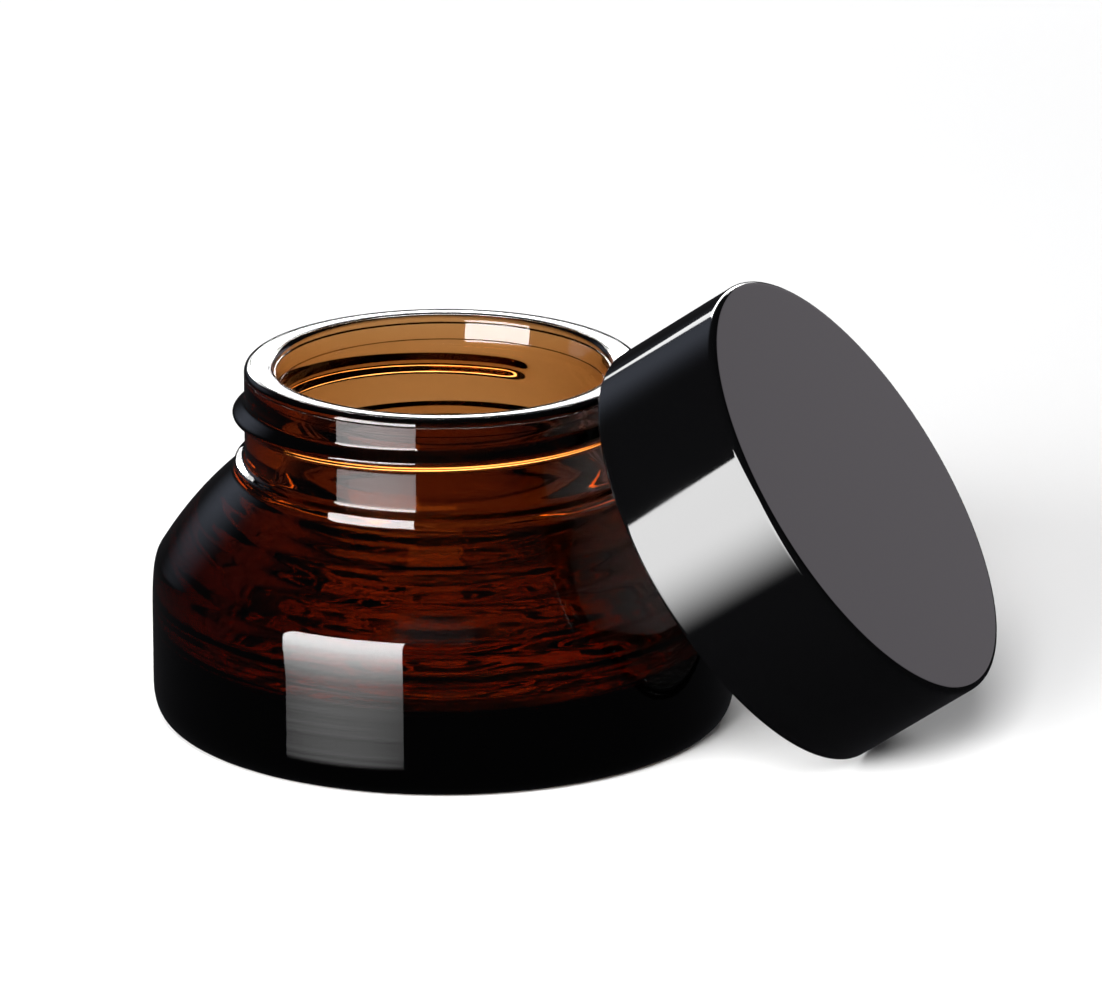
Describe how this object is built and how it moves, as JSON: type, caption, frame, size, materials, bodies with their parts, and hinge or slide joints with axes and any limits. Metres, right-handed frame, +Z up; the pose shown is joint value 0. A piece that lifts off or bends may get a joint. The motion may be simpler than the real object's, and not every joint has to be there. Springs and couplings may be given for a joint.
{
  "type": "cosmetic cream jar",
  "caption": "Low round amber glass cream jar with a sloping shoulder and threaded neck, standing open and empty with its black screw cap leaning against the rim.",
  "frame": {"origin": "centre of the jar's base, on the table", "axes": "+Z up along the jar's axis; the cap leans towards +X and a little towards -Y"},
  "size_m": [0.0997, 0.0758, 0.054],
  "materials": {
    "amber_glass": "clear dark amber glass, polished",
    "cap_black": "black, satin gloss",
    "insert_plastic": "black moulded plastic",
    "liner_foam": "white closed-cell foam"
  },
  "bodies": {
    "jar": {"glass_jar": "amber_glass"},
    "liner": {"cap_liner": "liner_foam"},
    "cap": {"cap_shell": "cap_black", "cap_insert": "insert_plastic"}
  },
  "joints": [
    {"name": "cap_swing", "type": "hinge", "parent": "jar", "child": "liner", "pos_m": [-0.00814, 0.00252, 0.00066], "axis": [-0.2964, -0.9551, 0], "range_deg": [0, 54.77]},
    {"name": "cap_turn", "type": "hinge", "parent": "liner", "child": "cap", "pos_m": [0.03505, -0.01088, 0.02216], "axis": [0.7801, -0.2421, 0.5769], "continuous": true}
  ]
}
